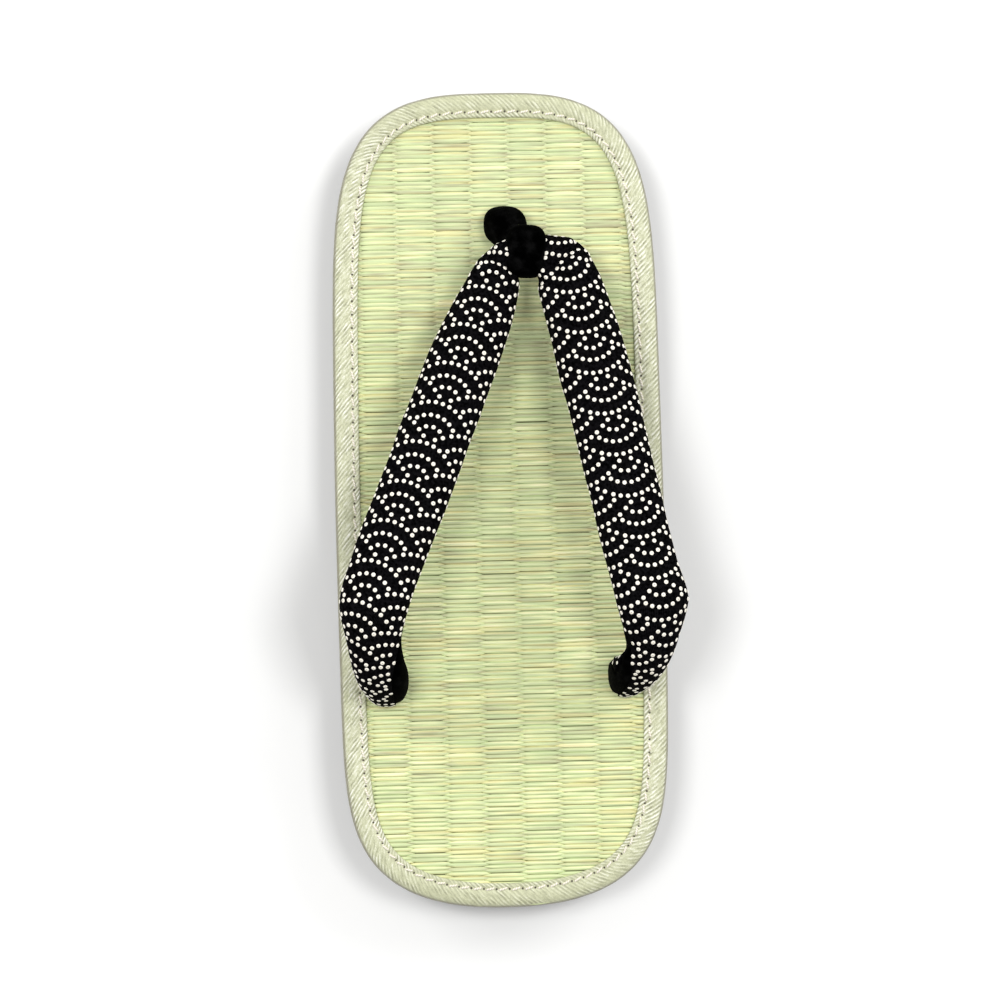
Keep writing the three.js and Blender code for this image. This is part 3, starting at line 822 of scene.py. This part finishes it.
def fold_depth(p, up_face):
    """Soft troughs, with a ridge on either side, where the cover is gathered. They fade round the edges. Where the
    right arm turns down, its outer edge has a blunt corner, and its inner edge is pressed in and swells out below."""
    total = SLACK * noise.noise(p / SLACK_SIZE)
    total += KINK_OUT * max(0.0, 1 - abs(p.y - KINK_Y) / KINK_REACH) * ease(p.x, *KINK_PART)
    for x, y, half, out in DENTS:
        total += out * math.exp(-((p.x - x) ** 2 + (p.y - y) ** 2) / half ** 2)
    flat = Vector((p.x, p.y))
    for from_x, from_y, to_x, to_y, half, depth in FOLDS:
        a, b = Vector((from_x, from_y)), Vector((to_x, to_y))
        t = min(max((flat - a).dot(b - a) / (b - a).length_squared, 0.0), 1.0)
        d = (flat - a.lerp(b, t)).length / half
        trough = math.exp(-d * d) - RIDGE * math.exp(-(d - RIDGE_AT) ** 2)
        total -= depth * ease(up_face, 0.0, FOLD_FADE) * trough
    return total


print(len(FOLDS), "folds by the toe and", len(DENTS), "dents by the right end")

# %% [markdown]
# ## Velvet and cotton
#
# Both cloths of the strap are black, and only their surface tells them apart. Velvet drinks the light, so it has
# next to no gloss and a fine bump for its pile. The cotton is a plain weave of warp and weft: its threads could be
# modelled, but they are finer than a pixel, so two crossing waves on the cover's UV map stand for them.

# %% Velvet and cotton finishes
WEAVE_PITCH, CLOTH_WIDE = 0.45, 40.0

velvet, start, feed = new_finish("velvet", {"Roughness": 1.0, "Specular IOR Level": 0.01, "Sheen Weight": 0.005,
                                            "Sheen Roughness": 0.4})
place = start.place()
pile = place.stretch(2600, 2600, 2600).noise(1.0)
nap_sheen = place.stretch(230, 230, 230).noise()
# The grey patches are painted sheen, where the velvet's pile catches the light.
feed("Base Color", (0.25 * pile + nap_sheen).ramp(0.55, 0.9).blend(colour("#000000"), colour("#0c0c0c")))
feed("Normal", pile.bump(0.0002))

cotton, start, feed = new_finish("strap_cotton", {"Specular IOR Level": 0.01})
warp = start.wave(start.uv_axis("X") * (STRAP_LENGTH / WEAVE_PITCH))
weft = start.wave(start.uv_axis("Y") * (CLOTH_WIDE / WEAVE_PITCH))
weave = 0.5 + 0.5 * warp * weft
place = start.place()
worn = place.stretch(1100, 1100, 1100).noise()
feed("Base Color", (0.3 * weave + 0.7 * worn).ramp(0.36, 0.66).blend(colour("#000000"), colour("#131214")))
feed("Roughness", 0.82 + 0.12 * worn)
feed("Normal", weave.bump(0.00006))

# %% [markdown]
# ## Cover and lining
#
# The printed cover is one strip of cloth. Along the arms it lies over the face and round both edges, and leaves the
# velvet bare underneath. Towards each end it is pulled round to the outer side, so the velvet comes into view on the
# inner one. Two tables give where the strip's edges lie round the strap, and the strip is laid between them. The
# velvet is a whole tube, close under it.

# %% Edges of the cover
COVER_FOLD = [  # distance from a strap's end, and where the cover's edge lies by the inner side, in degrees
    (0, 68), (22, 72), (28, 71), (32.5, 63), (35.5, 52), (38, 41), (41, 25), (45, 3), (53, -35), (400, -35),
]
COVER_TAIL = {  # the same for the cover's other edge, which goes round the back
    "left": [(0, 300), (24, 290), (32, 262), (41, 235), (52, 215), (400, 215)],
    "right": [(0, 300), (21, 300), (26.5, 376), (33, 378), (41, 295), (52, 215), (400, 215)],
}


def row_value(rows, distance):
    """The second number of a table, at a distance between its rows."""
    for (d0, low), (d1, high) in zip(rows, rows[1:]):
        if distance <= d1:
            return low + (high - low) * (distance - d0) / (d1 - d0)


def cover_edges(step):
    """Where the cover's two edges lie round the strap, in degrees."""
    end = "left" if step < STRAP_STEPS / 2 else "right"
    from_end = min(step, STRAP_STEPS - step) * STRAP_LENGTH / STRAP_STEPS
    return row_value(COVER_FOLD, from_end), row_value(COVER_TAIL[end], from_end)


print("cover's edges halfway along the strap:", cover_edges(STRAP_STEPS // 2), "degrees")

# %% Cover and lining
COVER_COLUMNS, COVER_THICK = 44, 0.55
LINING_SIDES, LINING_UNDER, LINING_SWELL = 48, 0.5, (4.0, 26.0)


def folds_at(step, degrees):
    return fold_depth(strap_place(step, degrees, 0.0), math.sin(math.radians(degrees)))


def cloth_place(step, degrees):
    return strap_place(step, degrees, folds_at(step, degrees))


def cover_place(_, u, v):
    step = round(u * STRAP_STEPS)
    inner, outer = cover_edges(step)
    return cloth_place(step, inner + (outer - inner) * v)


def lining_place(_, u, v):
    """The velvet lies under the cover, and swells out to the cover's level where the cover's edges part."""
    step = round(u * STRAP_STEPS)
    degrees = 360.0 * v
    inner, outer = cover_edges(step)
    parted = (degrees - outer) % 360
    bare = ease(min(parted, inner + 360 - outer - parted), *LINING_SWELL)
    folds = folds_at(step, degrees)
    return strap_place(step, degrees, folds * (bare if folds > 0 else 1) - LINING_UNDER * (1 - bare))


cover_bm = slit_grid(STRAP_STEPS, COVER_COLUMNS, 1, cover_place)
cover_bm.normal_update()
cloth = BVHTree.FromBMesh(cover_bm)
cover = keep("strap_cover", cover_bm, cotton, "strap")
wall = cover.modifiers.new("cloth thickness", "SOLIDIFY")
wall.thickness, wall.offset = COVER_THICK * MM, -1.0

lining_bm = slit_grid(STRAP_STEPS, LINING_SIDES, 1, lining_place)
seal(lining_bm)
bmesh.ops.edgeloop_fill(lining_bm, edges=[e for e in lining_bm.edges if e.is_boundary])
lining = keep("strap_lining", seal(lining_bm), velvet, "strap")

# %% [markdown]
# ## Printed dots
#
# The cotton is printed with dots of thick cream ink, in the old wave pattern of overlapping fans: three arcs of
# dots and a pair at the heart of each. The print is flat cloth that was then bent round the padding, so a dot's
# place on the flat cloth is found by rolling over the cover: straight along the arm first, and then sideways.

# %% Ink finish
dot_ink, start, feed = new_finish("dot_ink", {"Roughness": 0.55, "Specular IOR Level": 0.35})
rim = start.mark("rim")
place = start.place()
worn = place.stretch(900, 900, 900).noise()
ink = worn.blend(colour("#efe8d8"), colour("#fdf9ee"))
# Each dot's middle is grey: painted shade of a small dimple there.
feed("Base Color", (rim + 0.25 * (worn - 0.5)).ramp(0.08, 0.32).blend(colour("#9a917f"), ink))

# %% Chart of one fan, and the fans' lattice
FAN_ARCS = [  # radius of an arc, and the angles of its dots from the fan's axis
    (12.75, (0.0, 10.3, -10.3, 20.6, -20.6, 31.0, -31.0)),
    (8.5, (0.0, 15.0, -15.0, 30.0, -30.0, 45.0, -45.0)),
    (4.75, (0.0, 28.5, -28.5, 57.0, -57.0)),
    (2.2, (60.0, -60.0)),
]
FAN_PERIOD, FAN_ACROSS = 13.55, 12.85
FAN_COLUMNS = range(-3, 4)
PRINT_ARMS = [  # where a fan's outermost arc crests on an arm, the arm's heading, its fans and its ends in x
    {"x": 28.2, "y": 52.3, "heading": (0.221, -0.975), "fans": range(-4, 14), "from_x": 11.0, "to_x": 99.0},
    {"x": -39.6, "y": -18.2, "heading": (0.362, 0.932), "fans": range(-8, 11), "from_x": -99.0, "to_x": 8.0},
]
print(sum(len(angles) for _, angles in FAN_ARCS), "dots in a fan")

# %% Rolling over the strap
TUBE_SIDES = 60
ROLL_STEP = 0.5
OFF_THE_EDGE, ON_THE_COVER = 0.42, 0.35  # how far a step may end from the strap, and from its cover
ARM_REACH, OVERHEAD = 170.0, 200.0

tube_bm = slit_grid(STRAP_STEPS, TUBE_SIDES, 1, lambda _, u, v: cloth_place(round(u * STRAP_STEPS), 360.0 * v))
tube_bm.normal_update()
tube = BVHTree.FromBMesh(tube_bm)
tube_bm.free()


def roll(place, normal, heading, distance):
    """Rolls over the strap, straight ahead. Gives the new place, normal and heading, or None off the cover."""
    sign = 1 if distance >= 0 else -1
    left = abs(distance)
    while left > TINY:
        step = min(left, ROLL_STEP)
        heading = (heading - normal * heading.dot(normal)).normalized()
        aim = place + heading * step * sign
        place, normal, _, gap = tube.find_nearest(aim)
        if gap > OFF_THE_EDGE or cloth.find_nearest(place)[3] > ON_THE_COVER:
            return None
        left -= step
    return place, normal, (heading - normal * heading.dot(normal)).normalized()


def arm_line(arm):
    """The arm's axis on the strap, as places at even steps before and after its start."""
    start, normal, _, _ = tube.ray_cast(Vector((arm["x"], arm["y"], OVERHEAD)), Vector((0, 0, -1)))
    line = {0: (start, normal, Vector((*arm["heading"], 0.0)))}
    for sign in (1, -1):
        for i in range(1, int(ARM_REACH / ROLL_STEP)):
            ahead = roll(*line[sign * (i - 1)], sign * ROLL_STEP)
            if ahead is None or not arm["from_x"] < ahead[0].x < arm["to_x"]:
                break
            line[sign * i] = ahead
    return line


# %% Where the dots go
DOT_RADIUS, DOT_GAP, RIM_OFF = 0.71, 1.45, 0.6


def crowded(dot, others):
    """Whether a dot would lie on another, or half off the cover's edge."""
    place, normal, heading = dot
    side = normal.cross(heading) * DOT_RADIUS
    rim = [place + heading * DOT_RADIUS, place - heading * DOT_RADIUS, place + side, place - side]
    off = max(cloth.find_nearest(p)[3] for p in rim)
    return off > RIM_OFF * DOT_RADIUS or any((place - other[0]).length < DOT_GAP for other in others)


def flat_dots(arm):
    """The places of an arm's dots on the flat cloth: along the arm, and across it."""
    for k in arm["fans"]:
        for column in FAN_COLUMNS:
            for radius, angles in FAN_ARCS:
                for angle in map(math.radians, angles):
                    along = FAN_PERIOD * (k + 0.5 * (column % 2)) + radius * math.cos(angle)
                    yield along, FAN_ACROSS * column + radius * math.sin(angle)


def arm_dots(arm):
    """The dots of one arm: place, normal and heading of each."""
    line = arm_line(arm)
    found = []
    for along, across in flat_dots(arm):
        steps, rest = divmod(along - FAN_ARCS[0][0], ROLL_STEP)
        start = steps in line and roll(*line[steps], rest)
        if start:
            place, normal, heading = start
            dot = roll(place, normal, normal.cross(heading), across)
            if dot and arm["from_x"] < dot[0].x < arm["to_x"] and not crowded(dot, found):
                found.append(dot)
    return found


dots = [dot for arm in PRINT_ARMS for dot in arm_dots(arm)]
print(len(dots), "dots on the strap")

# %% Dots
DOT_RINGS = [(0.0, 1.0), (0.45, 0.95), (0.85, 0.62), (1.0, 0.0)]  # share of the radius, share of the height
DOT_SIDES = 12
DOT_HIGH, DOT_SUNK = 0.2, 0.03


def dot_place(n, u, v):
    place, normal, heading = dots[n]
    share, rise = row_at(DOT_RINGS, v)
    angle = math.tau * u
    side = normal.cross(heading)
    p = place + (heading * math.cos(angle) + side * math.sin(angle)) * DOT_RADIUS * share
    near, out, _, _ = cloth.find_nearest(p)
    return near + out * (DOT_HIGH * rise - DOT_SUNK)


def dot_rim(n, u, v):
    return row_at(DOT_RINGS, v)[0]


dots_bm = slit_grid(DOT_SIDES, len(DOT_RINGS) - 1, len(dots), dot_place, {"rim": dot_rim})
keep("strap_dots", seal(dots_bm), dot_ink, "strap")

# %% [markdown]
# ## Toe post
#
# The post is a loop of velvet: its stem comes up through the front hole, leans back, and wraps the strap in a
# soft block. Stem and block are one piece of cloth, so they are made apart and melted into one skin by a remesh.

# %% Toe post
STEM_ROWS = [  # x, y, height over the mat, radius
    (2.0, 88.0, -9.5, 4.6), (2.0, 88.0, 0.0, 5.0), (2.5, 87.8, 2.8, 6.0), (4.0, 86.7, 5.8, 6.4),
    (5.6, 84.0, 9.4, 5.3), (7.8, 81.5, 12.2, 4.3),
]
STEM_STEPS, STEM_SIDES = 24, 32
STEM_BOXY, STEM_NUDGE = 2.6, 0.02
BEAD_PLACE = Vector((9.5, 78.4, 13.2))
BEAD_HALF = Vector((6.4, 8.4, 6.6))
BEAD_BOXY, BEAD_TURN = 3.4, -0.06
BEAD_AROUND, BEAD_UP = 40, 24
POST_VOXEL, POST_SOFT, POST_ROUNDS = 0.45, 0.5, 4

stem_line = [Vector((x, y, mat_top(y) + up)) for x, y, up, _ in STEM_ROWS]
stem_sizes = [Vector((radius, 0.0)) for *_, radius in STEM_ROWS]


def stem_place(_, u, v):
    """A place on the stem. Its first and last rows shrink to a point and close it."""
    t = min(max((v * (STEM_STEPS + 2) - 1) / STEM_STEPS, 0.0), 1.0)
    before, after = curve_at(stem_line, max(t - STEM_NUDGE, 0.0)), curve_at(stem_line, min(t + STEM_NUDGE, 1.0))
    ahead = (after - before).normalized()
    right = (Vector((1, 0, 0)) - ahead * ahead.x).normalized()
    back = ahead.cross(right)
    radius = curve_at(stem_sizes, t).x if 0.0 < v < 1.0 else 0.0
    c, s = math.cos(math.tau * u), math.sin(math.tau * u)
    radius /= (abs(c) ** STEM_BOXY + abs(s) ** STEM_BOXY) ** (1 / STEM_BOXY)
    return curve_at(stem_line, t) + radius * (right * c + back * s)


post_bm = slit_grid(STEM_SIDES, STEM_STEPS + 2, 1, stem_place)
seal(post_bm)
bead = bmesh.ops.create_uvsphere(post_bm, u_segments=BEAD_AROUND, v_segments=BEAD_UP, radius=1.0)["verts"]
for v in bead:
    v.co /= sum(abs(c) ** BEAD_BOXY for c in v.co) ** (1 / BEAD_BOXY)
bmesh.ops.scale(post_bm, vec=BEAD_HALF, verts=bead)
bmesh.ops.rotate(post_bm, cent=(0, 0, 0), matrix=Matrix.Rotation(BEAD_TURN, 3, "Z"), verts=bead)
bmesh.ops.translate(post_bm, vec=BEAD_PLACE + Vector((0, 0, mat_top(BEAD_PLACE.y))), verts=bead)
post = keep("toe_post_velvet", post_bm, velvet, "toe_post")
melt = post.modifiers.new("one skin", "REMESH")
melt.mode, melt.voxel_size, melt.use_smooth_shade = "VOXEL", POST_VOXEL * MM, True
soften = post.modifiers.new("soft edges", "SMOOTH")
soften.factor, soften.iterations = POST_SOFT, POST_ROUNDS

# %% [markdown]
# ## Floor and light
#
# A plain pale floor, a high lamp over either side, two low ones off the toe and an even sky give the soft light of
# a product table. The high lamps make each arm of the strap shade the mat close beside it, and the low ones rake
# across the ridges of the rush. All are large for their distance, so no shadow has an edge.

# %% Floor and light
FLOOR_HALF, FLOOR_CELLS = 4.0, 8
LAMPS = [  # name, place in metres, size in metres, power in watts
    ("right_high_lamp", (0.6, 0.2, 1.75), 0.5, 11.0),
    ("left_high_lamp", (-0.6, 0.2, 1.75), 0.5, 11.0),
    ("right_low_lamp", (1.2, 0.9, 0.95), 0.8, 10.8),
    ("left_low_lamp", (-1.2, 0.9, 0.95), 0.8, 8.4),
]
SKY = 0.385

floor_finish, start, feed = new_finish("floor_paper", {"Roughness": 0.9, "Specular IOR Level": 0.2})
place = start.place()
feed("Base Color", place.stretch(3, 3, 3).noise().blend(colour("#f4f4f3"), colour("#f9f9f8")))
floor_bm = bmesh.new()
bmesh.ops.create_grid(floor_bm, x_segments=FLOOR_CELLS, y_segments=FLOOR_CELLS, size=FLOOR_HALF)
floor = new_object("floor", floor_bm, floor_finish)

for name, spot, size, watts in LAMPS:
    lamp_data = bpy.data.lights.new(name, "AREA")
    lamp_data.size, lamp_data.energy = size, watts
    lamp = bpy.data.objects.new(name, lamp_data)
    lamp.location = spot
    lamp.rotation_euler = (-Vector(spot)).to_track_quat("-Z", "Y").to_euler()
    scene.collection.objects.link(lamp)

scene.world = bpy.data.worlds.new("sky")
scene.world.use_nodes = True
sky = scene.world.node_tree.nodes["Background"]
sky.inputs["Strength"].default_value = SKY
sky.inputs["Color"].default_value = (1.0, 1.0, 1.0, 1.0)
scene.view_settings.view_transform = "Standard"
print(len(LAMPS), "lamps")
